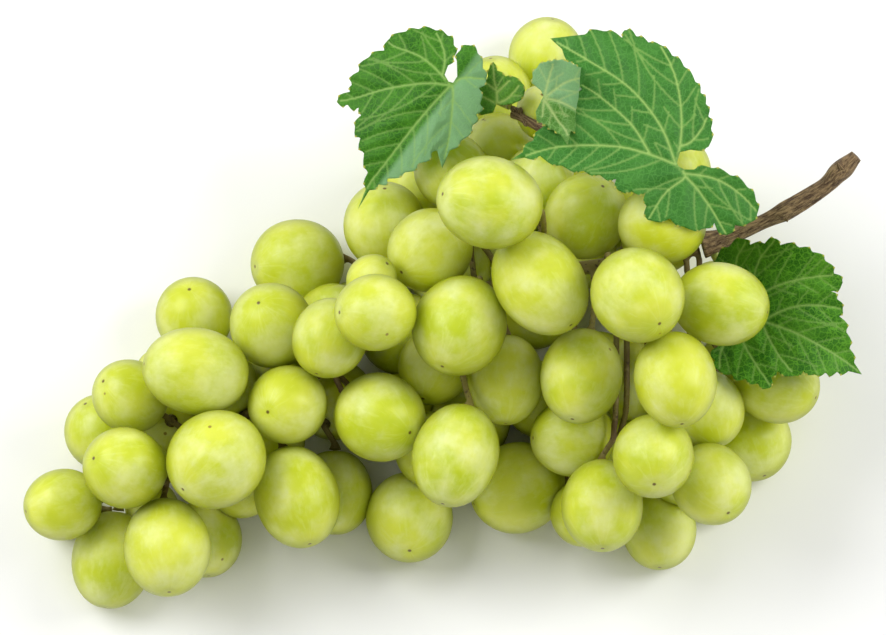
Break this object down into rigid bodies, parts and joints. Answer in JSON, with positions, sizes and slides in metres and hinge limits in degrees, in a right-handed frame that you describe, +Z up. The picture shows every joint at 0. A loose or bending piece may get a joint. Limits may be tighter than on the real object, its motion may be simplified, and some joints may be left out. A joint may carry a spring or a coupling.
{
  "type": "bunch of grapes",
  "caption": "Bunch of oval green grapes with its branched stem, a piece of woody cane and lobed vine leaves, lying on its side.",
  "frame": {"origin": "middle of the footprint, on the surface that the bunch lies on", "axes": "+X from the tip of the bunch towards the cane's cut end, +Y away from the front edge, +Z up from the surface"},
  "size_m": [0.2004, 0.1478, 0.0843],
  "materials": {
    "berry_skin": "taut translucent green skin with a thin waxy bloom, soft gloss",
    "stem": "brown-green fibrous fruit stem, matt",
    "cane_bark": "dark brown ridged vine bark with paler streaks, matt",
    "leaf": "fresh green leaf with pale net veins, satin"
  },
  "bodies": {
    "root": {"berry_01": "berry_skin", "berry_02": "berry_skin", "berry_03": "berry_skin", "berry_04": "berry_skin", "berry_05": "berry_skin", "berry_06": "berry_skin", "berry_07": "berry_skin", "berry_08": "berry_skin", "berry_09": "berry_skin", "berry_10": "berry_skin", "berry_11": "berry_skin", "berry_12": "berry_skin", "berry_13": "berry_skin", "berry_14": "berry_skin", "berry_15": "berry_skin", "berry_16": "berry_skin", "berry_17": "berry_skin", "berry_18": "berry_skin", "berry_19": "berry_skin", "berry_20": "berry_skin", "berry_21": "berry_skin", "berry_22": "berry_skin", "berry_23": "berry_skin", "berry_24": "berry_skin", "berry_25": "berry_skin", "berry_26": "berry_skin", "berry_27": "berry_skin", "berry_28": "berry_skin", "berry_29": "berry_skin", "berry_30": "berry_skin", "berry_31": "berry_skin", "berry_32": "berry_skin", "berry_33": "berry_skin", "berry_34": "berry_skin", "berry_35": "berry_skin", "berry_36": "berry_skin", "berry_37": "berry_skin", "berry_38": "berry_skin", "berry_39": "berry_skin", "berry_40": "berry_skin", "berry_41": "berry_skin", "berry_42": "berry_skin", "berry_43": "berry_skin", "berry_44": "berry_skin", "berry_45": "berry_skin", "berry_46": "berry_skin", "berry_47": "berry_skin", "berry_48": "berry_skin", "berry_49": "berry_skin", "berry_50": "berry_skin", "berry_51": "berry_skin", "berry_52": "berry_skin", "bunch_stem": "stem", "cane": "cane_bark", "leaf_twig": "cane_bark", "leaf_left": "leaf", "leaf_top": "leaf", "leaf_right": "leaf", "leaflet_1": "leaf", "leaflet_2": "leaf"}
  },
  "joints": []
}
